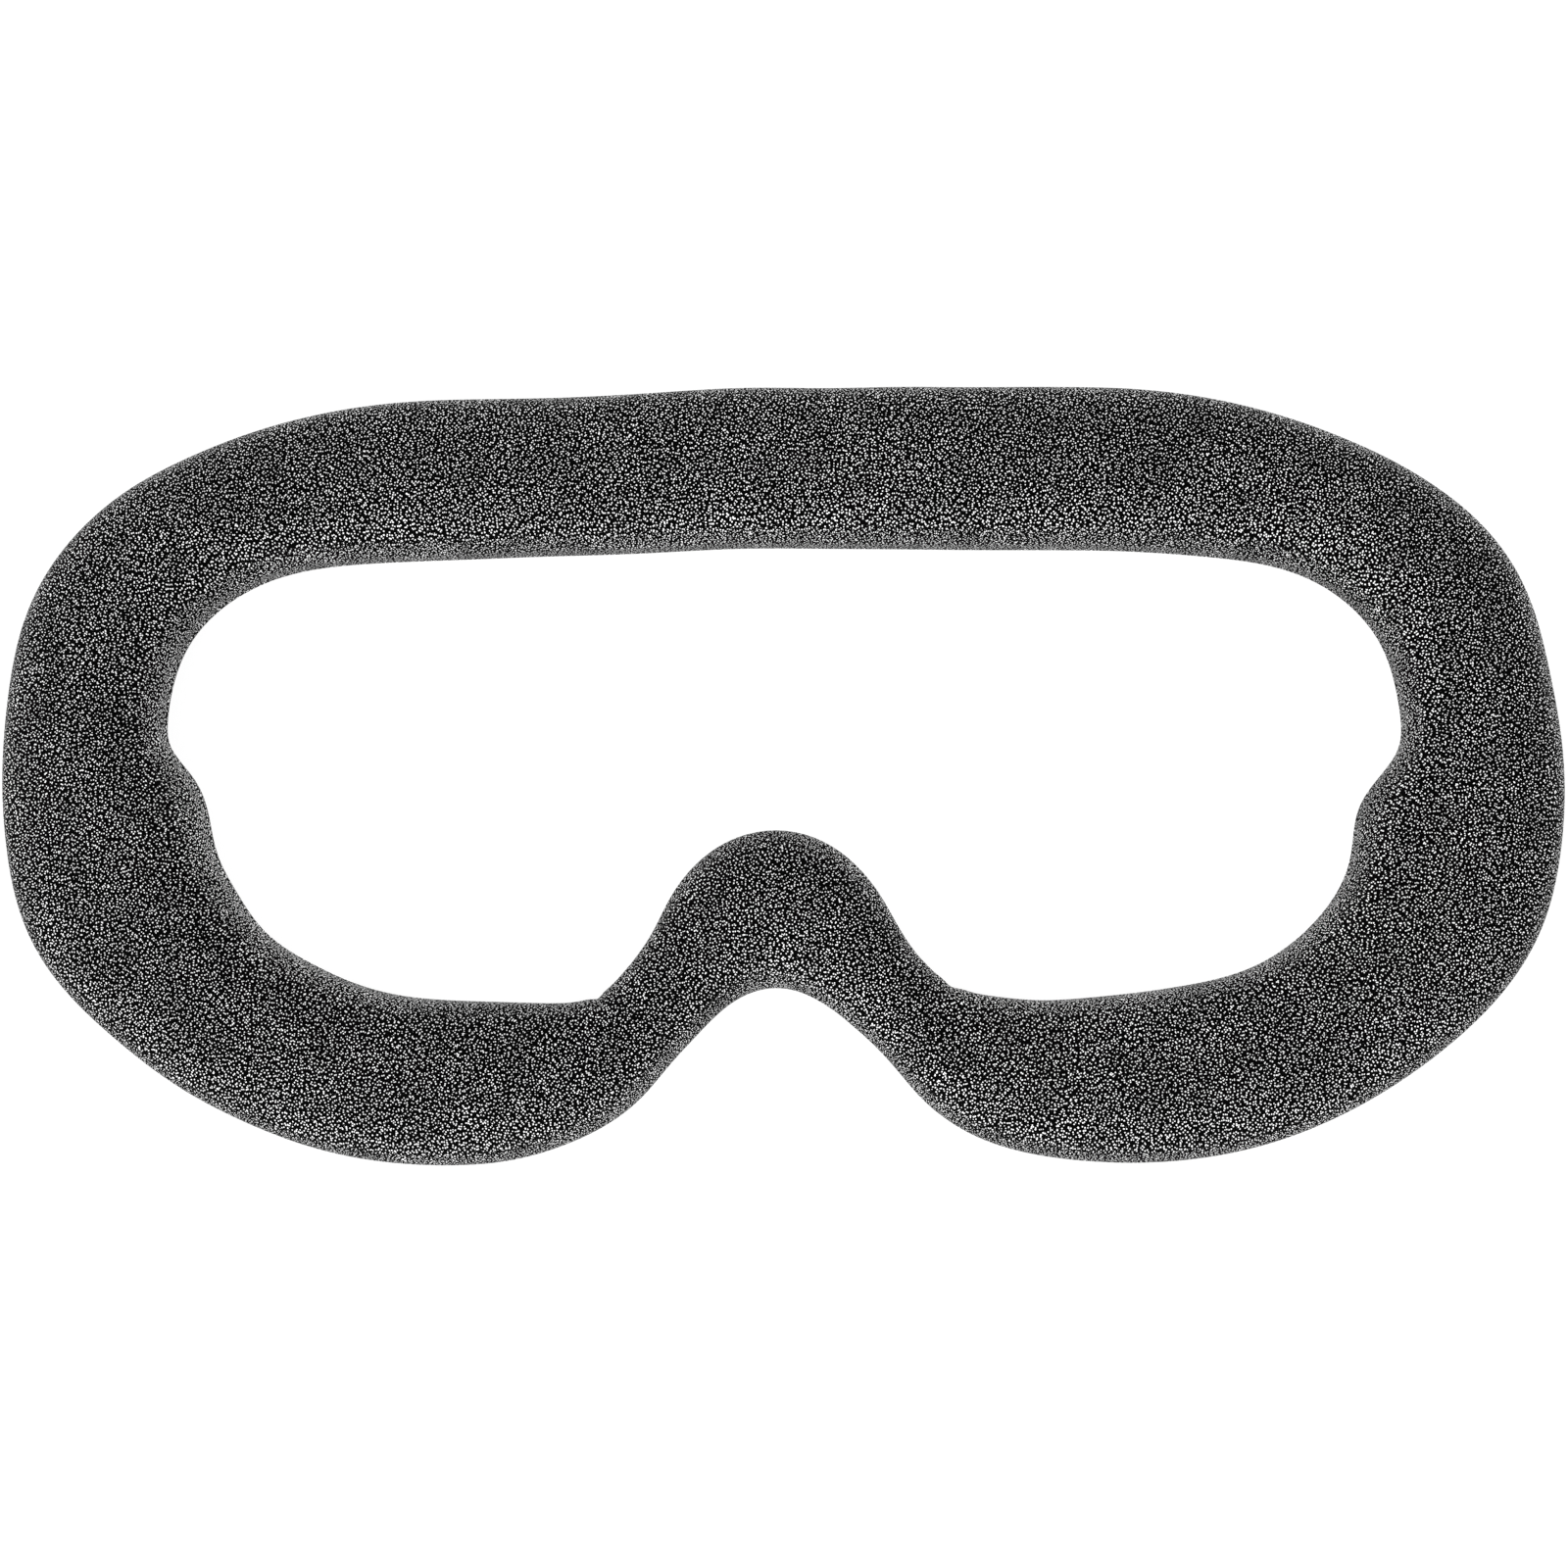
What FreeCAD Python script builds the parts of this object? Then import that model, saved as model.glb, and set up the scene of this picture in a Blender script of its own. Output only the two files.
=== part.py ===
"""Face pad for a pair of first-person-view goggles: a soft ring that cushions the face round both eyes.

The pad lies on its back, face side up. X runs across the face, Y up the face towards the brow, and Z
out of the pad towards the skin. The origin is on the back face, at the middle of the pad's box.

From the back to the skin the pad is a laminate of five pieces:
  loop_lining      brushed loop fabric, the back half of the hook-and-loop joint to the goggles
  back_bond_film   hot-melt film that holds the lining to the foam and to the cover's hem
  foam_core        soft open-cell foam ring, which gives the pad its shape
  cover_bond_film  hot-melt film that holds the cover to the foam
  face_cover       brushed knit cover, over the face and both walls, with its edges turned under
"""
import FreeCAD
import Part

import os

Vector = FreeCAD.Vector

# Driving dimensions, in millimetres
PAD_THICKNESS = 14.0    # back face to crown
OUTER_ROUND = 9.0       # radius of the face's edge on the outside of the ring
INNER_ROUND = 3.0       # radius of the face's edge round the eye opening
ROLLED_EDGE = 0.6       # radius where the cover turns under the foam
COVER_THICKNESS = 0.8
FILM_THICKNESS = 0.15
LINING_THICKNESS = 1.0
LINING_INSET = 0.4      # how far the lining stops short of the pad's own edge
HEM_WIDTH = 3.0         # cover turned under the foam, measured from the inside of its wall
INSET_STATIONS = 80     # points that an inset outline is drawn through

# Right half of each outline, in the XY plane, from the middle of the brow round to the nose.
OUTER_HALF = [
    (0.0, 44.8),        # middle of the brow
    (15.0, 44.5),
    (32.0, 44.2),
    (47.0, 43.3),       # brow shoulder
    (62.0, 39.8),
    (76.0, 32.7),
    (85.2, 22.8),       # temple
    (89.2, 9.0),
    (89.8, -6.0),
    (86.4, -19.2),
    (76.0, -31.3),      # cheek
    (60.0, -40.8),
    (42.0, -44.8),      # lowest point of the cheek lobe
    (27.0, -43.2),
    (16.5, -37.6),
    (7.5, -28.0),       # side of the nose
    (0.0, -24.6),       # bridge of the nose
]
INNER_HALF = [
    (0.0, 26.7),        # middle of the brow
    (15.0, 26.5),
    (32.0, 26.1),
    (50.0, 25.2),
    (61.0, 22.9),
    (68.2, 17.2),       # upper outer corner of the eye opening
    (71.7, 8.6),
    (71.2, 2.2),
    (68.3, -1.5),       # step in the temple
    (66.7, -5.0),
    (65.9, -9.6),
    (62.7, -15.7),
    (55.3, -21.8),      # lower outer corner
    (43.0, -25.3),
    (29.0, -26.2),
    (21.6, -25.1),      # lower inner corner
    (16.6, -21.2),
    (11.2, -13.0),      # side of the nose
    (5.8, -7.9),
    (0.0, -6.4),        # bridge of the nose
]

# Heights above the back face
FILM_BASE = LINING_THICKNESS
COVER_BASE = FILM_BASE + FILM_THICKNESS


def closed_curve(points):
    """A smooth closed curve through points."""
    curve = Part.BSplineCurve()
    curve.interpolate(Points=points, PeriodicFlag=True)
    return curve


def outline(half):
    """The whole outline: the right half and its mirror image, which share their first and last points."""
    right = [Vector(x, y, 0) for x, y in half]
    left = [Vector(-x, y, 0) for x, y in half[-2:0:-1]]
    return closed_curve(right + left)


def inset(curve, distance):
    """The outline moved sideways by distance. Both outlines run clockwise, so a positive distance moves
    the outer one inwards, and a negative distance moves the inner one outwards, into the ring."""
    if distance == 0:
        return curve
    first, last = curve.FirstParameter, curve.LastParameter
    points = []
    for k in range(INSET_STATIONS):
        parameter = first + (last - first) * k / INSET_STATIONS
        along = curve.tangent(parameter)[0]
        sideways = Vector(along.y, -along.x, 0)
        points.append(curve.value(parameter) + sideways * distance)
    return closed_curve(points)


OUTER = outline(OUTER_HALF)
INNER = outline(INNER_HALF)


def ring(margin, low, high):
    """A plain ring between the heights low and high, with both its walls moved into the pad by margin."""
    outer = Part.Wire([inset(OUTER, margin).toShape()])
    inner = Part.Wire([inset(INNER, -margin).toShape()])
    face = Part.makeFace([outer, inner], "Part::FaceMakerBullseye")
    face.translate(Vector(0, 0, low))
    return face.extrude(Vector(0, 0, high - low))


def edges_at(solid, height):
    """The two edges of a ring at that height: the outer one first."""
    level = [
        edge for edge in solid.Edges
        if abs(edge.BoundBox.ZMin - height) < 1e-4 and abs(edge.BoundBox.ZMax - height) < 1e-4
    ]
    return sorted(level, key=lambda edge: -edge.BoundBox.XLength)


def one_solid(shape):
    """The single solid in shape."""
    if len(shape.Solids) != 1:
        raise ValueError("expected one solid, and there are %d" % len(shape.Solids))
    return shape.Solids[0]


def rounded_ring(margin, low):
    """The pad's body from the height low up, with its face's edges rounded, inset all over by margin."""
    high = PAD_THICKNESS - margin
    body = ring(margin, low, high)
    body = one_solid(body.makeFillet(OUTER_ROUND - margin, [edges_at(body, high)[0]]))
    return one_solid(body.makeFillet(INNER_ROUND - margin, [edges_at(body, high)[-1]]))


def foam_core():
    """The foam ring: it fills the cover, and stands on the back film between the two hems."""
    margin = COVER_THICKNESS + FILM_THICKNESS
    body = rounded_ring(margin, COVER_BASE + COVER_THICKNESS)
    foot = ring(COVER_THICKNESS + HEM_WIDTH, COVER_BASE, COVER_BASE + COVER_THICKNESS)
    return one_solid(body.fuse(foot).removeSplitter())


def cover_bond_film():
    """The film between the cover and the foam, over the face and both walls."""
    floor = COVER_BASE + COVER_THICKNESS
    outside = rounded_ring(COVER_THICKNESS, floor)
    inside = rounded_ring(COVER_THICKNESS + FILM_THICKNESS, floor)
    return one_solid(outside.cut(inside))


def face_cover():
    """The cover: a skin over the face and both walls, with a hem turned under the foam all round."""
    outside = rounded_ring(0, COVER_BASE)
    outside = one_solid(outside.makeFillet(ROLLED_EDGE, edges_at(outside, COVER_BASE)))
    hollow = rounded_ring(COVER_THICKNESS, COVER_BASE + COVER_THICKNESS)
    mouth = ring(COVER_THICKNESS + HEM_WIDTH, COVER_BASE, COVER_BASE + COVER_THICKNESS)
    return one_solid(outside.cut(hollow).cut(mouth))


def back_bond_film():
    """The film between the lining and the foam."""
    return one_solid(ring(LINING_INSET, FILM_BASE, COVER_BASE))


def loop_lining():
    """The loop fabric on the back."""
    return one_solid(ring(LINING_INSET, 0, LINING_THICKNESS))


NODES = {
    "loop_lining": loop_lining,
    "back_bond_film": back_bond_film,
    "foam_core": foam_core,
    "cover_bond_film": cover_bond_film,
    "face_cover": face_cover,
}


def main():
    os.makedirs("parts", exist_ok=True)
    for name, build in NODES.items():
        solid = build()
        if not solid.isValid():
            raise ValueError(name + " is not a valid solid")
        solid.exportStep(os.path.join("parts", name + ".step"))
        box = solid.optimalBoundingBox()
        print("%-16s %8.0f mm3  %6.2f x %5.2f x %5.2f mm  z %.2f to %.2f" % (
            name, solid.Volume, box.XLength, box.YLength, box.ZLength, box.ZMin, box.ZMax))


main()
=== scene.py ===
"""Looks of the face pad of first-person-view goggles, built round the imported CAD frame.

The pad is a ring of foam in a brushed knit cover, with loop fabric on its back. Every layer is made on
one grid: stations run round the ring, and at each station a row of points runs across it, from the hem
on the outside, up the outer wall, over the crown and down the inner wall to the other hem.
"""
import math

import bpy
import numpy as np
from mathutils import Matrix, Vector


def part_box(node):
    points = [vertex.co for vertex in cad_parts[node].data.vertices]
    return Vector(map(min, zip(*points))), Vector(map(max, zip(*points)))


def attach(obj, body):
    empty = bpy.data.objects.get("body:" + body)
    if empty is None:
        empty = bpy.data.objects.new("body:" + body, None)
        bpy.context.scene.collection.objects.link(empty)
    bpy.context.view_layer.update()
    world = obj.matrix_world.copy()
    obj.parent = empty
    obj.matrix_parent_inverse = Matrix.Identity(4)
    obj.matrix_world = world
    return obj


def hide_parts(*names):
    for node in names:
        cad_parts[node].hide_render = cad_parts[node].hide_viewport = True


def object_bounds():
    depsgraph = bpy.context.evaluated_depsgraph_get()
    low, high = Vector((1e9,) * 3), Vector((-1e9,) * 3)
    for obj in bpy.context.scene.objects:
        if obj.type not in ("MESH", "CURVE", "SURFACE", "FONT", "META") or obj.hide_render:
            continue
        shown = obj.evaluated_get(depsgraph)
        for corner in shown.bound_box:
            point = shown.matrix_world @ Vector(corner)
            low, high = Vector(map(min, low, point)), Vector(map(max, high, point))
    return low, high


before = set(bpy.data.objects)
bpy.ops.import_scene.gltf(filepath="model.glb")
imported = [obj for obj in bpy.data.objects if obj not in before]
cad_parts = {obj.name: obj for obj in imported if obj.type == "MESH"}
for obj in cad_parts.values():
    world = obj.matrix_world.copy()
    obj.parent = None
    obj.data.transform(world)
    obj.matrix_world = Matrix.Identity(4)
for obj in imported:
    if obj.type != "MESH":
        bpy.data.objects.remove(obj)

CAD_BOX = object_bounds()
MM = 0.001

# ---------------------------------------------------------------- sizes, in metres, from the frame

LINING_LOW, LINING_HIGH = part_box("loop_lining")
COVER_LOW, COVER_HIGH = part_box("face_cover")

CROWN = COVER_HIGH.z                                  # height of the crown above the floor
HEM_LEVEL = COVER_LOW.z                               # underside of the cover's hem
LINING_INSET = COVER_HIGH.x - LINING_HIGH.x           # from the cover's wall in to the edge of the CAD lining
COVER_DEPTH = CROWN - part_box("cover_bond_film")[1].z  # thickness of the knit
FOAM_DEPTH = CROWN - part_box("foam_core")[1].z         # from the outside of the knit to the foam

# Section of the pad, across the ring
HEM_WIDTH = 3.6 * MM
ROLL_RADIUS = 1.25 * MM       # where the knit turns under the foam
TUCK = 0.45 * MM              # how far the wall pulls in towards its foot
BACK_INSET = 1.1 * MM         # how far inside the widest part the lining stops, under the swollen walls
WEB_INSET = 2.2 * MM          # and the bond film over it, which the hem covers
FOAM_GAP = 0.3 * MM           # between the hem's edge and the foam's foot
WIDEST = 4.6 * MM             # height where the ring is widest
CREST = 0.47                  # where the crown is highest: a share of the way from outside to inside
OUTER_FULLNESS = 2.25         # exponent of the crown's outer half: 2 is an ellipse, more is squarer
INNER_FULLNESS = 3.8
PRESSED_TO = 0.55             # share of its thickness that the lining keeps at its heat-pressed edges
PRESSED_ROWS = ((0.35, 0.22), (1.1, 0.05), (2.2, 0.0))    # how far in from the edge, and how far up, in mm
PROUD_INSET = 3.2 * MM        # where its flat middle begins

# The knit's nap, with painted light and shade in how bright its fibre ends are
FIBRE_SCALE = 2750            # fibre ends per metre
FIBRE_SPREAD = 0.9            # how unevenly they stand: 0 is a square grid
FIBRE_TURN = 0.7              # the grid that they are scattered from is turned by this angle
FIBRE_RADIUS = 0.183          # how far each one's light reaches on the crown, as a share of their spacing
FIBRE_EDGE = 0.03             # and how soft it is at its edge
TUFT_SCALE = 2200             # tufts per metre
TUFT_SPAN = 0.15              # how much further or less far that light reaches in them
PATCH_SCALE = 260             # patches per metre in which the nap lies one way
PATCH_SPAN = 0.24             # how much lighter or darker they are
LIE_SCALE = 38                # the same, for the slower change in the lie of the nap
LIE_SPAN = 0.08
PULLED_NAP_AND_PAINTED_SHEEN = 0.65              # how much lighter the fibre ends are where the knit stands upright: partly its nap pulled open, partly painted sheen and painted light from the floor
SIDE_RISE = 0.8               # exponent of that gain, as the knit gets steeper
PAINTED_KEY_LIGHT_GAIN = 0.45           # painted light: how much lighter where it slopes to the lower left, where the key light hangs
PAINTED_LIGHT_WAY = (-0.5, -0.87)   # the way that painted light falls from: the lower left
PAINTED_LIGHT_TURN = 2.2            # how fast that painted light turns into painted shade, as the knit gets steeper
PAINTED_CROSSWISE_SHADE = 0.2          # painted shade: this much darker where it slopes to the left or the right
CROSSWISE_EASE = 0.02         # which fades out where the knit is level
FOOT_SHADE = 0.6              # painted shade: this much darker where it turns under
NAP_REACH = 1.5               # how far all this is evened out along the ring, in stations
SIDE_FROM = 0.65              # the fibre ends' drawing turns from above to square on while the upward part
SIDE_TO = 0.4                 # of the knit's normal falls from the first of these to the second

# The grid
STATIONS = 280
HEM_ROWS, ROLL_ROWS, WALL_ROWS, CROWN_ROWS = 3, 4, 3, 9
ROLL_FROM, ROLL_TO = 10, 80   # where the first and the last row lie round the roll, in degrees
OUTLINE_POINTS = 3000
OUTLINE_REACH = 4             # how far an outline is smoothed, in those points
FACING_ROUNDS = 600           # how often the stations are moved to face each other across the ring
FACING_STEP = 0.03            # and how far each time, as a share of what they are out by
EVENING_ROUNDS = 3            # how often their spacing is evened after each


# ---------------------------------------------------------------- outlines

def bottom_edges(node):
    """The border edges of a flat node's bottom face, as pairs of XY points rounded to a micron."""
    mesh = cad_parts[node].data
    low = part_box(node)[0].z
    uses = {}
    for polygon in mesh.polygons:
        points = [mesh.vertices[i].co for i in polygon.vertices]
        if max(p.z for p in points) - low > 1e-6:
            continue
        keys = [(round(p.x, 6), round(p.y, 6)) for p in points]
        for a, b in zip(keys, keys[1:] + keys[:1]):
            edge = (min(a, b), max(a, b))
            uses[edge] = uses.get(edge, 0) + 1
    return [edge for edge, count in uses.items() if count == 1]


def closed_loops(edges):
    """The closed loops that the edges form: the longest first, each as an array of XY points."""
    beside = {}
    for a, b in edges:
        beside.setdefault(a, []).append(b)
        beside.setdefault(b, []).append(a)
    loops = []
    while beside:
        here = min(beside)
        loop = []
        while here in beside:
            loop.append(here)
            ways = beside.pop(here)
            onward = [p for p in ways if p in beside]
            if not onward:
                break
            here = onward[0]
        loops.append(np.array(loop))
    return sorted(loops, key=lambda loop: -np.ptp(loop[:, 0]))


def resampled(loop, count):
    """A closed loop as count points, evenly spaced along it."""
    closed = np.vstack([loop, loop[:1]])
    along = np.concatenate([[0], np.cumsum(np.linalg.norm(np.diff(closed, axis=0), axis=1))])
    at = np.arange(count) / count * along[-1]
    return np.column_stack([np.interp(at, along, closed[:, k]) for k in (0, 1)])


def smoothed(values, reach):
    """A closed row of values, each averaged with its neighbours. reach is in points."""
    wide = int(3 * reach) + 1
    weights = np.exp(-0.5 * (np.arange(-wide, wide + 1) / reach) ** 2)
    weights /= weights.sum()
    return sum(w * np.roll(values, k, axis=0) for k, w in zip(range(-wide, wide + 1), weights))


def tangents(loop):
    """Unit vectors along a closed loop."""
    along = np.roll(loop, -1, axis=0) - np.roll(loop, 1, axis=0)
    return along / np.linalg.norm(along, axis=1)[:, None]


def turned_left(vectors):
    """XY vectors turned a quarter turn to the left: away from the middle, on a clockwise loop."""
    return np.column_stack([-vectors[:, 1], vectors[:, 0]])


def enclosed(loop):
    """The area inside a closed loop, less than 0 if it runs clockwise."""
    x, y = loop.T
    return (x * np.roll(y, -1) - y * np.roll(x, -1)).sum() / 2


def clockwise(loop):
    """The loop, running clockwise from the point nearest to the middle of the brow."""
    if enclosed(loop) > 0:
        loop = loop[::-1]
    start = np.argmin(np.abs(loop[:, 0]) - 10 * loop[:, 1])
    return np.roll(loop, -start, axis=0)


# The pad is soft, so it doesn't lie quite evenly. Each row is a place on an outline, how far the pad
# bulges past the outline there, and how far round about it the bulge reaches, in millimetres.
OUTSIDE_BULGES = [
    (-28, 44, -0.3, 12), (0, 45, 0.2, 12), (14, 45, 0.3, 7),                # brow
    (28, 45, 0.55, 12), (41, 44, 0.45, 9), (52, 43, 0.35, 10),
    (88, 14, -0.55, 11), (90, -5, -0.2, 8),                                 # right temple, pushed in
    (45, -44, -0.25, 9), (34, -45, -0.5, 9), (13, -34, -0.6, 7),            # right lobe
    (-10, -29, 0.45, 5), (-17, -38, 0.6, 7), (-29, -43, 0.35, 7),           # left lobe
    (-61, -39, -0.3, 8), (-76, -30, -0.5, 11), (-88, -6, -0.3, 10),         # left cheek
    (-86, 18, 0.28, 13), (-76, 32, 0.3, 8),                                 # left temple
]
INSIDE_BULGES = [
    (-36, 26, 0.4, 15), (-17, 26, 0.25, 9), (40, 26, -0.35, 13),            # brow
    (55, 25, -0.05, 7),
    (72, 8, 0.3, 6), (69, -1, -0.2, 4), (67, -3, 0.5, 4),                   # right step
    (47, -24, 0.3, 6), (38, -26, 0.4, 8), (25, -26, 0.45, 4),               # right lobe
    (15, -18, -0.3, 6),
    (-15, -18, -0.75, 6), (-24, -26, -0.25, 5), (-20, -25, -0.8, 4),        # left lobe
    (-43, -25, -0.3, 7), (-55, -21, 0.65, 7), (-62, -14, 0.45, 5),
    (-64, -12, 0.8, 6), (-69, -1, 0.7, 4),                                  # left step, let out
    (-70, 6, 0.65, 9), (-62, 21, 0.45, 9),                                  # left temple
]
OUTSIDE_SWELL = -0.22         # how far past its outline the outer wall stands all round, in millimetres
INSIDE_SWELL = 0.35           # and the inner wall, into the opening


def bulged(loop, outward, bulges, everywhere):
    """An outline moved outward to how the soft pad lies."""
    moved = np.full(len(loop), everywhere)
    for x, y, bulge, reach in bulges:
        away = np.linalg.norm(loop / MM - (x, y), axis=1)
        moved += bulge * np.exp(-(away / reach) ** 2)
    return loop + outward * moved[:, None] * MM


def outline(loop, inset, bulges, everywhere):
    """One of the pad's outlines, as dense even points, from the lining's loop, which lies inset from it."""
    dense = smoothed(resampled(clockwise(loop), OUTLINE_POINTS), OUTLINE_REACH)
    outward = turned_left(tangents(dense)) * math.copysign(1, inset)
    return bulged(dense + outward * abs(inset), outward, bulges, everywhere)


class Loop:
    """A closed outline that can be read at any distance along it."""

    def __init__(self, points):
        self.points = np.vstack([points, points[:1]])
        steps = np.linalg.norm(np.diff(self.points, axis=0), axis=1)
        self.along = np.concatenate([[0], np.cumsum(steps)])
        self.length = self.along[-1]

    def at(self, distances):
        """Points at those distances along it."""
        distances = np.mod(distances, self.length)
        return np.column_stack([np.interp(distances, self.along, self.points[:, k]) for k in (0, 1)])

    def way(self, distances):
        """Unit vectors along the outline."""
        step = 0.3 * MM
        along = self.at(distances + step) - self.at(distances - step)
        return along / np.linalg.norm(along, axis=1)[:, None]

    def evened(self, distances):
        """Distances, one for each station, each moved half way to the middle of its neighbours."""
        beside = (np.roll(distances, 1) + np.roll(distances, -1)) / 2
        beside[0] -= self.length / 2
        beside[-1] += self.length / 2
        return (distances + beside) / 2


def stations(outer, inner):
    """Pairs of points on the two outlines, as straight across the ring from each other as an even spread
    of them allows, at even steps along the middle of the ring."""
    outside = np.arange(STATIONS) / STATIONS * outer.length
    inside = np.arange(STATIONS) / STATIONS * inner.length
    for _ in range(FACING_ROUNDS):
        across = inner.at(inside) - outer.at(outside)
        outside = outside + FACING_STEP * (across * outer.way(outside)).sum(axis=1)
        inside = inside - FACING_STEP * (across * inner.way(inside)).sum(axis=1)
        for _ in range(EVENING_ROUNDS):
            outside, inside = outer.evened(outside), inner.evened(inside)
    outside = np.append(outside, outside[0] + outer.length)
    inside = np.append(inside, inside[0] + inner.length)
    middle = (outer.at(outside) + inner.at(inside)) / 2
    steps = np.linalg.norm(np.diff(middle, axis=0), axis=1)
    along = np.concatenate([[0], np.cumsum(steps)])
    even = np.arange(STATIONS) / STATIONS * along[-1]
    return outer.at(np.interp(even, along, outside)), inner.at(np.interp(even, along, inside))


lining_outer, lining_inner = closed_loops(bottom_edges("loop_lining"))[:2]
OUTER = Loop(outline(lining_outer, LINING_INSET, OUTSIDE_BULGES, OUTSIDE_SWELL))
INNER = Loop(outline(lining_inner, -LINING_INSET, INSIDE_BULGES, INSIDE_SWELL))
OUTSIDE, INSIDE = stations(OUTER, INNER)


# ---------------------------------------------------------------- grids

def half_section(fullness, reach):
    """One half of the cover's section, from the hem's edge up to the crest, as (across, height) rows.
    across starts at the outline and is at most reach, which may be one number for each station."""
    rows = []
    for k in range(HEM_ROWS):
        share = 1 - k / (HEM_ROWS - 0.5)
        rows.append((TUCK + ROLL_RADIUS + (HEM_WIDTH - ROLL_RADIUS) * share, HEM_LEVEL))
    for k in range(ROLL_ROWS):
        turn = math.radians(ROLL_FROM + (ROLL_TO - ROLL_FROM) * k / (ROLL_ROWS - 1))
        rows.append((
            TUCK + ROLL_RADIUS * (1 - math.sin(turn)),
            HEM_LEVEL + ROLL_RADIUS * (1 - math.cos(turn)),
        ))
    foot = HEM_LEVEL + ROLL_RADIUS
    for k in range(WALL_ROWS):
        up = (k + 1) / (WALL_ROWS + 1)
        rows.append((TUCK * (1 - up) ** 2, foot + (WIDEST - foot) * up))
    for k in range(CROWN_ROWS):
        turn = math.pi / 2 * k / CROWN_ROWS
        rows.append((
            reach * (1 - math.cos(turn) ** (2 / fullness)),
            WIDEST + (CROWN - WIDEST) * math.sin(turn) ** (2 / fullness),
        ))
    return rows


def cover_grid():
    """The outside of the cover, as an array of rows by stations by XYZ."""
    across = INSIDE - OUTSIDE
    width = np.linalg.norm(across, axis=1)
    across = across / width[:, None]
    outer_rows = half_section(OUTER_FULLNESS, width * CREST)
    inner_rows = half_section(INNER_FULLNESS, width * (1 - CREST))
    grid = []
    for away, height in outer_rows:
        plan = OUTSIDE + across * np.broadcast_to(away, STATIONS)[:, None]
        grid.append(np.column_stack([plan, np.full(STATIONS, height)]))
    plan = OUTSIDE + across * (width * CREST)[:, None]
    grid.append(np.column_stack([plan, np.full(STATIONS, CROWN)]))
    for away, height in reversed(inner_rows):
        plan = INSIDE - across * np.broadcast_to(away, STATIONS)[:, None]
        grid.append(np.column_stack([plan, np.full(STATIONS, height)]))
    return np.array(grid)


def grid_normals(grid):
    """Outward normals of a grid, whose rows are open and whose stations close on themselves."""
    along = np.roll(grid, -1, axis=1) - np.roll(grid, 1, axis=1)
    across = np.gradient(grid, axis=0)
    normals = np.cross(across, along)
    normals /= np.linalg.norm(normals, axis=2)[..., None]
    crest = len(grid) // 2
    return normals if normals[crest, :, 2].mean() > 0 else -normals


def linked(name, data):
    """A new object in the scene."""
    thing = bpy.data.objects.new(name, data)
    bpy.context.scene.collection.objects.link(thing)
    return thing


def new_piece(name, points, faces):
    """A smooth-shaded mesh object in the scene."""
    mesh = bpy.data.meshes.new(name)
    mesh.from_pydata([tuple(p) for p in points], [], faces)
    mesh.validate()
    mesh.polygons.foreach_set("use_smooth", [True] * len(mesh.polygons))
    return linked(name, mesh)


def tube_faces(rows, closed):
    """Faces that join rows of stations into a band, or into a closed tube if the last row meets the first."""
    faces = []
    for j in range(rows if closed else rows - 1):
        below, above = j * STATIONS, (j + 1) % rows * STATIONS
        for k in range(STATIONS):
            after = (k + 1) % STATIONS
            faces.append((below + k, above + k, above + after, below + after))
    return faces


def closed_piece(name, loops):
    """A solid ring whose section runs through the rows of loops, and back to the first."""
    grid = np.array(loops)
    return new_piece(name, grid.reshape(-1, 3), tube_faces(len(grid), True))


def shell_piece(name, grid, from_depth, to_depth):
    """The layer of a covered pad between two depths below the grid."""
    normals = grid_normals(grid)
    near = grid - normals * from_depth
    far = grid - normals * to_depth
    return closed_piece(name, list(near) + list(far[::-1]))


# ---------------------------------------------------------------- simulation

SIM_SCALE = 10          # the cover is this much larger while it swells
SIM_FRAMES = 20
SIM_PRESSURE = 600.0
SIM_MASS = 0.3
SIM_STRETCH = 5.0       # stiffness of the knit
SIM_SHEAR = 2.0
SIM_BEND = 0.5
SIM_START = 0.6 * MM    # the cover starts this much smaller all over, and swells
SIM_CAP = 1.6 * MM      # and no point moves further than this
FIT_REACH = 2           # how far the fit is evened out along the ring, in stations
FIT_FADE = 1.5          # exponent of how it fades towards the crown


def fitted(grid, rest):
    """A swollen grid, brought back to the pad's outlines and height, and to its rest shape at the hems."""
    across = INSIDE - OUTSIDE
    width = np.linalg.norm(across, axis=1)
    across /= width[:, None]
    crest = len(grid) // 2
    from_outside = ((grid[..., :2] - OUTSIDE) * across).sum(axis=2)
    from_inside = ((INSIDE - grid[..., :2]) * across).sum(axis=2)
    outside_gap = smoothed(from_outside[:crest].min(axis=0), FIT_REACH)
    inside_gap = smoothed(from_inside[crest:].min(axis=0), FIT_REACH)
    outside_share = np.clip(1 - 2 * from_outside / width, 0, 1) ** FIT_FADE
    inside_share = np.clip(1 - 2 * from_inside / width, 0, 1) ** FIT_FADE
    shift = inside_share * inside_gap - outside_share * outside_gap
    grid[..., :2] += shift[..., None] * across
    height = grid[..., 2].max(axis=0).mean() - HEM_LEVEL
    grid[..., 2] = HEM_LEVEL + (grid[..., 2] - HEM_LEVEL) * (CROWN - HEM_LEVEL) / height
    free = np.clip((rest[..., 2] - HEM_LEVEL) / (WIDEST - HEM_LEVEL), 0, 1)[..., None]
    return rest + (grid - rest) * free


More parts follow.
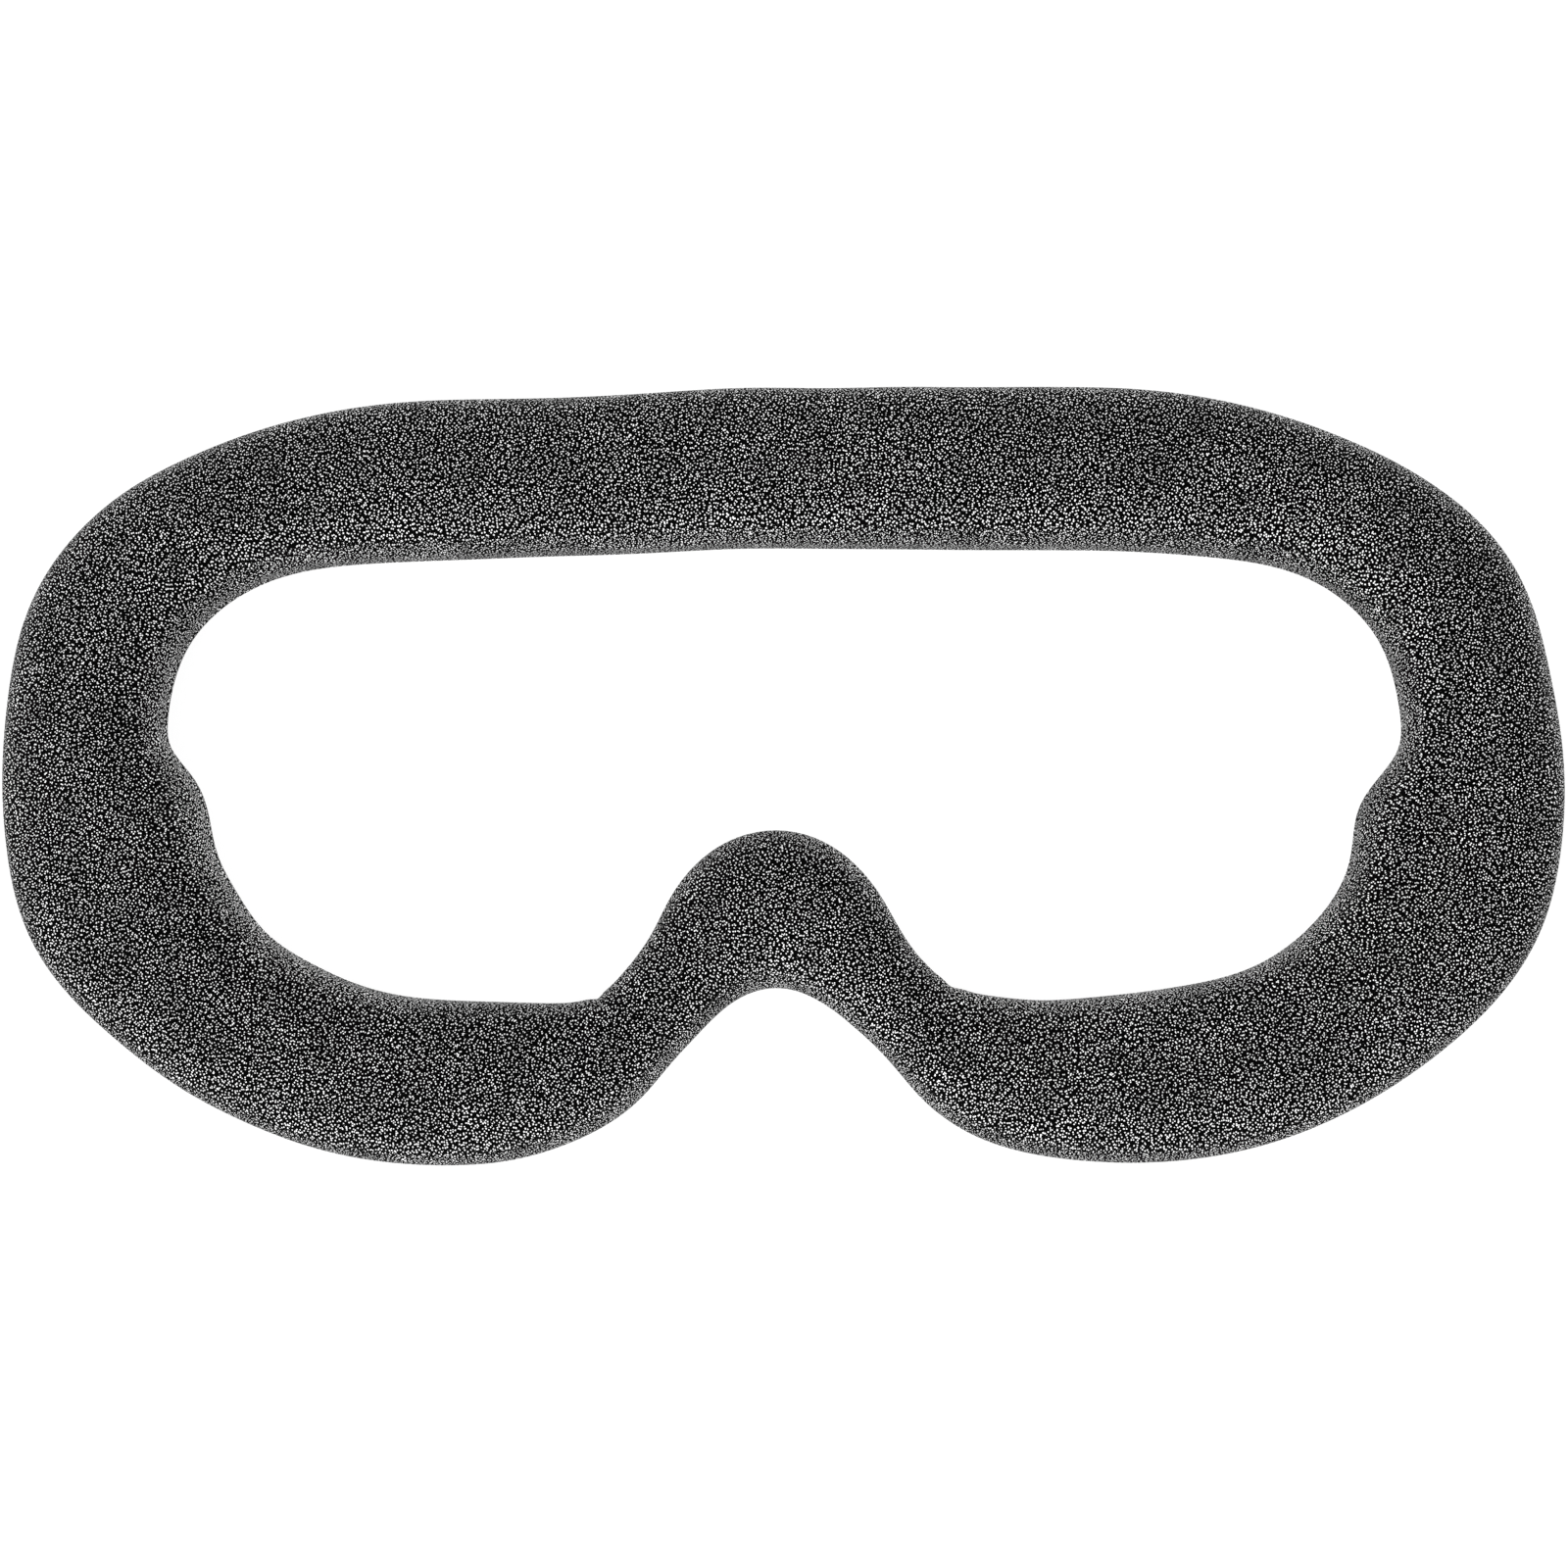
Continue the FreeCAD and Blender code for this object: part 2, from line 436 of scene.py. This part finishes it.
def swollen(grid):
    """The cover's grid after it has been blown out by the foam that it is stretched over."""
    small = grid - grid_normals(grid) * SIM_START
    sim = new_piece("sim", (small * SIM_SCALE).reshape(-1, 3), tube_faces(len(grid), True))
    held = sim.vertex_groups.new(name="held")
    for row in range(len(grid)):
        if grid[row, :, 2].mean() < HEM_LEVEL + ROLL_RADIUS:
            held.add(list(range(row * STATIONS, (row + 1) * STATIONS)), 1.0, "REPLACE")
    cloth = sim.modifiers.new("cloth", "CLOTH")
    settings = cloth.settings
    settings.quality = 6
    settings.mass = SIM_MASS
    settings.tension_stiffness = settings.compression_stiffness = SIM_STRETCH
    settings.shear_stiffness = SIM_SHEAR
    settings.bending_stiffness = SIM_BEND
    settings.use_pressure = True
    settings.uniform_pressure_force = SIM_PRESSURE
    settings.vertex_group_mass = "held"
    settings.effector_weights.gravity = 0
    cloth.collision_settings.use_collision = False
    scene = bpy.context.scene
    for number in range(1, SIM_FRAMES + 1):
        scene.frame_set(number)
    settled_mesh = sim.evaluated_get(bpy.context.evaluated_depsgraph_get()).to_mesh()
    points = np.zeros(len(settled_mesh.vertices) * 3)
    settled_mesh.vertices.foreach_get("co", points)
    points = points.reshape(grid.shape) / SIM_SCALE
    bpy.data.objects.remove(sim)
    scene.frame_set(1)
    moved = points - small
    far = np.linalg.norm(moved, axis=2)
    moved *= np.minimum(1, SIM_CAP / np.maximum(far, 1e-9))[..., None]
    return fitted(small + moved, grid)


# ---------------------------------------------------------------- materials

class Shader:
    """A procedural material on one Principled shader, with short calls for its nodes. Patterns are read in
    object coordinates, so their scales are in features per metre."""

    def __init__(self, name, **sockets):
        self.material = bpy.data.materials.new(name)
        self.material.use_nodes = True
        self.tree = self.material.node_tree
        self.surface = self.tree.nodes["Principled BSDF"]
        self.place = self.tree.nodes.new("ShaderNodeTexCoord").outputs["Object"]
        for socket, value in sockets.items():
            self.surface.inputs[socket.replace("_", " ").title().replace("Ior", "IOR")].default_value = value

    def node(self, kind, inputs, output=0, **settings):
        """Adds a node, fills or links its inputs, and returns one of its outputs."""
        node = self.tree.nodes.new(kind)
        for name, value in settings.items():
            setattr(node, name, value)
        for socket, value in inputs.items():
            if isinstance(value, bpy.types.NodeSocket):
                self.tree.links.new(value, node.inputs[socket])
            else:
                node.inputs[socket].default_value = value
        return node.outputs[output]

    def noise(self, scale, detail, distortion=0.0):
        """Soft random blotches."""
        return self.node("ShaderNodeTexNoise", {
            "Vector": self.place, "Scale": scale, "Detail": detail, "Distortion": distortion,
        })

    def attribute(self, name):
        """The vectors that the mesh holds under this name, at its points or corners."""
        return self.node("ShaderNodeAttribute", {}, output="Vector", attribute_name=name)

    def turned(self, place, angle):
        """A place turned about Z."""
        return self.node("ShaderNodeVectorRotate", {"Vector": place, "Angle": angle}, rotation_type="Z_AXIS")

    def parts(self, vector):
        """The three numbers in a vector."""
        apart = self.node("ShaderNodeSeparateXYZ", {"Vector": vector}).node
        return apart.outputs[0], apart.outputs[1], apart.outputs[2]

    def cells(self, scale, feature="F1", place=None, spread=1.0, flat=False):
        """The distance to the nearest of many scattered points, in shares of their spacing."""
        return self.node("ShaderNodeTexVoronoi", {
            "Vector": place or self.place, "Scale": scale, "Randomness": spread,
        }, output="Distance", feature=feature, voronoi_dimensions="2D" if flat else "3D")

    def spread(self, value, low, high, to_low=0.0, to_high=1.0, smooth=True):
        """value, stretched so that low to high becomes to_low to to_high, and held at those ends."""
        return self.node("ShaderNodeMapRange", {
            "Value": value, "From Min": low, "From Max": high, "To Min": to_low, "To Max": to_high,
        }, interpolation_type="SMOOTHSTEP" if smooth else "LINEAR")

    def wander(self, scale, span, detail):
        """A factor that wanders softly from 1 - span to 1 + span."""
        return self.spread(self.noise(scale, detail), 0.3, 0.7, 1 - span, 1 + span, smooth=False)

    def maths(self, operation, a, b):
        """One sum on two values."""
        return self.node("ShaderNodeMath", {0: a, 1: b}, operation=operation)

    def blend(self, share, a, b):
        """A colour that goes from a to b as share goes from 0 to 1."""
        node = self.tree.nodes.new("ShaderNodeMix")
        node.data_type = "RGBA"
        for socket, value in ((node.inputs[0], share), (node.inputs[6], a), (node.inputs[7], b)):
            if isinstance(value, bpy.types.NodeSocket):
                self.tree.links.new(value, socket)
            else:
                socket.default_value = value
        return node.outputs[2]

    def shade(self, colour, by):
        """A colour with its brightness multiplied by a value."""
        return self.node("ShaderNodeVectorMath", {0: colour, "Scale": by}, operation="SCALE")

    def colour(self, value):
        """Colours the surface."""
        self.tree.links.new(value, self.surface.inputs["Base Color"])

    def rough(self, value):
        """Roughens the surface."""
        self.tree.links.new(value, self.surface.inputs["Roughness"])

    def bump(self, height, distance, strength=1.0, under=None):
        """Bumps as high as distance, laid over other bumps if under is given."""
        inputs = {"Height": height, "Distance": distance, "Strength": strength}
        if under is not None:
            inputs["Normal"] = under
        return self.node("ShaderNodeBump", inputs)

    def relief(self, normal):
        """Gives the surface its bumps."""
        self.tree.links.new(normal, self.surface.inputs["Normal"])


def grey(value, warmth=0.0):
    """A grey, a little warm or cool."""
    return (value * (1 + warmth), value, value * (1 - warmth), 1)


def brushed_knit():
    """Charcoal knit with a short brushed nap. Light fibre ends stand a little over a third of a millimetre
    apart on a black ground, and the nap lies one way or the other in soft patches. The fibre ends are drawn
    from above on the crown and square on to the pad's sides, and the two drawings fade into each other."""
    knit = Shader(
        "brushed_knit", roughness=0.9, specular_ior_level=0.05,
        sheen_weight=0.02, sheen_roughness=0.3, sheen_tint=grey(0.9),
    )
    # The fibre ends' radii carry the painted light and shade that nap() puts on the mesh
    radius_above, radius_square, _ = knit.parts(knit.attribute("nap"))
    from_above, square_on = (
        knit.cells(FIBRE_SCALE, spread=FIBRE_SPREAD, place=knit.turned(place, FIBRE_TURN), flat=True)
        for place in (knit.place, knit.attribute("unrolled"))
    )
    fibres = knit.maths(
        "MAXIMUM",
        knit.maths("SUBTRACT", radius_above, from_above),
        knit.maths("SUBTRACT", radius_square, square_on),
    )
    tufts = knit.spread(knit.noise(TUFT_SCALE, detail=1), 0.0, 1.0, -TUFT_SPAN, TUFT_SPAN, smooth=False)
    fibres = knit.maths("ADD", fibres, tufts)
    ends = knit.spread(fibres, -FIBRE_EDGE, FIBRE_EDGE)
    patches = knit.wander(PATCH_SCALE, PATCH_SPAN, detail=3)
    lie = knit.wander(LIE_SCALE, LIE_SPAN, detail=1)
    strength = knit.maths("MULTIPLY", patches, lie)
    knit.colour(knit.shade(knit.blend(ends, grey(0.0), grey(0.85)), strength))
    knit.rough(knit.spread(fibres, -0.4, 0.2, 0.98, 0.82))
    nap = knit.bump(fibres, 0.12 * MM, 0.5)
    knit.relief(knit.bump(patches, 0.05 * MM, 0.5, under=nap))
    return knit.material


def brushed_loops():
    """Black loop fabric: fine tangled loops that catch the light along their crowns."""
    loops = Shader(
        "brushed_loops", roughness=0.75, specular_ior_level=0.3,
        sheen_weight=0.3, sheen_roughness=0.35, sheen_tint=grey(0.8),
    )
    tangled = loops.noise(700, detail=2, distortion=1.5)
    crowns = loops.spread(loops.cells(1700), 0.05, 0.55, 1.0, 0.0)
    strands = loops.maths("MULTIPLY", crowns, loops.spread(tangled, 0.3, 0.7, 0.5, 1.0))
    loops.colour(loops.blend(strands, grey(0.006), grey(0.06)))
    loops.rough(loops.spread(tangled, 0.3, 0.7, 0.65, 0.9))
    loops.relief(loops.bump(strands, 0.3 * MM))
    return loops.material


def open_cell_foam():
    """Dark grey open-cell foam: small round cells with bright walls between them."""
    foam = Shader("open_cell_foam", roughness=0.95, specular_ior_level=0.2)
    walls = foam.spread(foam.cells(1400, feature="DISTANCE_TO_EDGE"), 0.0, 0.25, 1.0, 0.0)
    depth = foam.noise(500, detail=3)
    cells = foam.blend(walls, grey(0.015), grey(0.11))
    foam.colour(foam.shade(cells, foam.spread(depth, 0.3, 0.7, 0.7, 1.2)))
    foam.relief(foam.bump(walls, 0.25 * MM))
    return foam.material


def melted_web():
    """Hot-melt film after pressing: a cloudy web with thin and thick places."""
    web = Shader("melted_web", roughness=0.5, specular_ior_level=0.4)
    threads = web.noise(900, detail=3, distortion=2.0)
    web.colour(web.blend(web.spread(threads, 0.35, 0.65), grey(0.30, 0.02), grey(0.62, 0.02)))
    web.rough(web.spread(threads, 0.3, 0.7, 0.35, 0.65))
    web.relief(web.bump(threads, 0.05 * MM))
    return web.material


def studio_floor():
    """A white table, lit from inside."""
    return Shader(
        "studio_floor", base_color=grey(0.12), roughness=0.8, specular_ior_level=0.2,
        emission_color=grey(1.0), emission_strength=0.94,
    ).material


# ---------------------------------------------------------------- pieces

def finished(piece, material, node):
    """Gives a piece its material and its place in the frame."""
    piece.data.materials.append(material)
    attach(piece, "root")
    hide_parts(node)


def across_ring(out_inset, in_inset, shares, height):
    """Rows of points at one height, at shares of the way from the outer outline to the inner one, each
    outline moved into the ring by its inset."""
    across = INSIDE - OUTSIDE
    width = np.linalg.norm(across, axis=1)[:, None]
    start = OUTSIDE + across / width * out_inset
    end = INSIDE - across / width * in_inset
    return [np.column_stack([start + (end - start) * share, np.full(STATIONS, height)]) for share in shares]


def flat_ring(name, inset, low, high):
    """A thin flat ring, with its edges moved into the pad by inset."""
    shares = np.linspace(0, 1, 6)
    top = across_ring(inset, inset, shares, high)
    bottom = across_ring(inset, inset, shares[::-1], low)
    return closed_piece(name, top + bottom)


def paired(first, second):
    """Vectors of two numbers each, and a third that is 0."""
    return np.stack([first, second, np.zeros_like(first)], axis=2)


def nap(cover):
    """The radius of the fibre ends at each point of the cover, in the drawing from above and in the one
    square on to the side. It carries painted light and shade: dark on the crown, lighter where the knit
    stands upright (partly its nap pulled open, partly painted sheen), painted lighter on gentle slopes to the
    lower left, where the key light hangs, and painted shade where it slopes to the left or right and where it
    turns under."""
    x, y, z = np.moveaxis(grid_normals(cover), 2, 0)
    steep = 1 - np.abs(z)
    # Painted light and shade, multiplied into the fibre ends' radius
    towards = (x * PAINTED_LIGHT_WAY[0] + y * PAINTED_LIGHT_WAY[1]) * np.clip(1 - PAINTED_LIGHT_TURN * steep, -1, 1)
    strength = 1 + PULLED_NAP_AND_PAINTED_SHEEN * steep ** SIDE_RISE + PAINTED_KEY_LIGHT_GAIN * towards
    strength *= 1 - PAINTED_CROSSWISE_SHADE * np.abs(z) * x ** 2 / (x ** 2 + y ** 2 + CROSSWISE_EASE)
    strength *= 1 + FOOT_SHADE * np.minimum(z, 0)
    strength = smoothed(strength.T, NAP_REACH).T
    side = np.clip((SIDE_FROM - np.abs(z)) / (SIDE_FROM - SIDE_TO), 0, 1)
    above, square = (FIBRE_RADIUS * np.sqrt(strength * share) for share in (1 - side, side))
    return paired(above, square)


def unrolled(cover):
    """How far along the ring and how far from the nearer hem each point lies, if the knit were laid flat.
    One column of stations is added, where the ring closes. The inner half counts from a metre on."""
    closed = np.concatenate([cover, cover[:, :1]], axis=1)
    along = np.zeros(closed.shape[:2])
    along[:, 1:] = np.cumsum(np.linalg.norm(np.diff(closed, axis=1), axis=2), axis=1)
    crest = len(cover) // 2
    along[:crest] = along[crest // 2]
    along[crest:] = along[crest + crest // 2]
    steps = np.linalg.norm(np.diff(closed, axis=0), axis=2)
    across = np.zeros(closed.shape[:2])
    across[1:crest] = np.cumsum(steps[:crest - 1], axis=0)
    across[crest:-1] = 1 + np.cumsum(steps[crest:][::-1], axis=0)[::-1]
    across[-1] = 1
    return paired(along, across)


def add_vectors(piece, name, domain, vectors):
    """Stores vectors on a piece's mesh under a name, one for each point or corner."""
    piece.data.attributes.new(name, "FLOAT_VECTOR", domain).data.foreach_set("vector", vectors.reshape(-1))


def both_sides(outside):
    """Values for the cover's outer face, followed by the same for its inner face, in reverse."""
    return np.concatenate([outside, outside[::-1]])


def knit_cover(cover):
    """The brushed knit, with what its nap needs to know at each point and corner."""
    piece = shell_piece("knit_cover", cover, 0, COVER_DEPTH)
    # The fibre ends' radii, with painted light and shade in them
    add_vectors(piece, "nap", "POINT", both_sides(nap(cover)))
    flat = both_sides(unrolled(cover))
    corners = np.zeros((len(piece.data.loops), 3))
    for polygon in piece.data.polygons:
        spots = [divmod(piece.data.loops[k].vertex_index, STATIONS) for k in polygon.loop_indices]
        closes = {station for row, station in spots} == {0, STATIONS - 1}
        for k, (row, station) in zip(polygon.loop_indices, spots):
            corners[k] = flat[row, STATIONS if closes and station == 0 else station]
    add_vectors(piece, "unrolled", "CORNER", corners)
    rounder = piece.modifiers.new("rounder", "SUBSURF")
    rounder.levels = rounder.render_levels = 1
    finished(piece, brushed_knit(), "face_cover")


def bond_webs(cover):
    """The two bond films: one under the knit and one over the lining."""
    web = melted_web()
    finished(shell_piece("cover_web", cover, COVER_DEPTH, FOAM_DEPTH), web, "cover_bond_film")
    low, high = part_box("back_bond_film")
    finished(flat_ring("back_web", WEB_INSET, low.z, high.z), web, "back_bond_film")


def foam_ring(cover):
    """The foam, which fills the cover and stands on the back film between the hems."""
    surface = cover - grid_normals(cover) * FOAM_DEPTH
    edge = TUCK + HEM_WIDTH + FOAM_GAP
    base = across_ring(edge, edge, np.linspace(1, 0, 5), HEM_LEVEL)
    piece = closed_piece("foam_ring", list(surface) + base)
    finished(piece, open_cell_foam(), "foam_core")


def loop_back():
    """The loop fabric: flat on the foam, a little proud between its heat-pressed edges."""
    low, high = LINING_LOW.z, LINING_HIGH.z
    top = across_ring(BACK_INSET, BACK_INSET, np.linspace(0, 1, 10), high)
    edge_rows = [(0.0, low + (high - low) * (1 - PRESSED_TO))]
    edge_rows += [(away * MM, low + up * MM) for away, up in PRESSED_ROWS]
    inner = [across_ring(0, BACK_INSET + away, [1], z)[0] for away, z in edge_rows]
    outer = [across_ring(BACK_INSET + away, 0, [0], z)[0] for away, z in reversed(edge_rows)]
    inset = BACK_INSET + PROUD_INSET
    middle = across_ring(inset, inset, np.linspace(1, 0, 7), low)
    piece = closed_piece("loop_back", top + inner + middle + outer)
    finished(piece, brushed_loops(), "loop_lining")


cover = swollen(cover_grid())
knit_cover(cover)
bond_webs(cover)
foam_ring(cover)
loop_back()


# ---------------------------------------------------------------- stage

CAMERA_AT = Vector((25, -27.55, 450)) * MM      # nearly straight above, a little right of the nose
CAMERA_AIM = Vector((0.58, -0.57, 0)) * MM
CAMERA_ROLL = 0.0015
CAMERA_LENS = 89.1
FLOOR_REACH = 3                                 # from the middle of the floor to its sides, in metres
KEY_AT = (-0.56, -0.64, 0.75)                   # the key light hangs to the lower left
KEY_SIZE = (0.6, 0.6)
KEY_POWER = 6.5
HORIZON_LIGHT, ZENITH_LIGHT = 2.15, 0.6


def lay_floor():
    """A white floor just under the pad."""
    mesh = bpy.data.meshes.new("floor")
    corners = [(x * FLOOR_REACH, y * FLOOR_REACH, 0) for x, y in ((-1, -1), (1, -1), (1, 1), (-1, 1))]
    mesh.from_pydata(corners, [], [(0, 1, 2, 3)])
    floor = linked("floor", mesh)
    floor.location.z = CAD_BOX[0].z - 0.1 * MM
    mesh.materials.append(studio_floor())


def hang_light(name, place, size, power):
    """A soft rectangular light that faces the pad."""
    lamp = bpy.data.lights.new(name, "AREA")
    lamp.shape = "RECTANGLE"
    lamp.size, lamp.size_y = size
    lamp.energy = power
    light = linked(name, lamp)
    light.location = place
    light.rotation_mode = "QUATERNION"
    light.rotation_quaternion = Vector(place).to_track_quat("Z", "Y")


def set_camera():
    """The camera, which looks down on the pad."""
    camera = linked("camera", bpy.data.cameras.new("camera"))
    camera.data.lens = CAMERA_LENS
    camera.location = CAMERA_AT
    back = (CAMERA_AT - CAMERA_AIM).normalized()
    up = Vector((-math.sin(CAMERA_ROLL), math.cos(CAMERA_ROLL), 0))
    side = up.cross(back).normalized()
    camera.rotation_mode = "QUATERNION"
    camera.rotation_quaternion = Matrix((side, back.cross(side), back)).transposed().to_quaternion()
    bpy.context.scene.camera = camera


def set_world(horizon, zenith):
    """White surroundings, like a tent: brighter low down than overhead, where the camera looks in."""
    world = bpy.data.worlds.new("world")
    world.use_nodes = True
    tree = world.node_tree
    background = tree.nodes["Background"]
    background.inputs["Color"].default_value = grey(1.0)
    way = tree.nodes.new("ShaderNodeTexCoord").outputs["Generated"]
    apart = tree.nodes.new("ShaderNodeSeparateXYZ")
    fade = tree.nodes.new("ShaderNodeMapRange")
    fade.inputs["To Min"].default_value = horizon
    fade.inputs["To Max"].default_value = zenith
    tree.links.new(way, apart.inputs[0])
    tree.links.new(apart.outputs["Z"], fade.inputs["Value"])
    tree.links.new(fade.outputs["Result"], background.inputs["Strength"])
    bpy.context.scene.world = world


lay_floor()
hang_light("key", KEY_AT, KEY_SIZE, KEY_POWER)
set_world(HORIZON_LIGHT, ZENITH_LIGHT)
set_camera()
bpy.context.scene.view_settings.view_transform = "Standard"
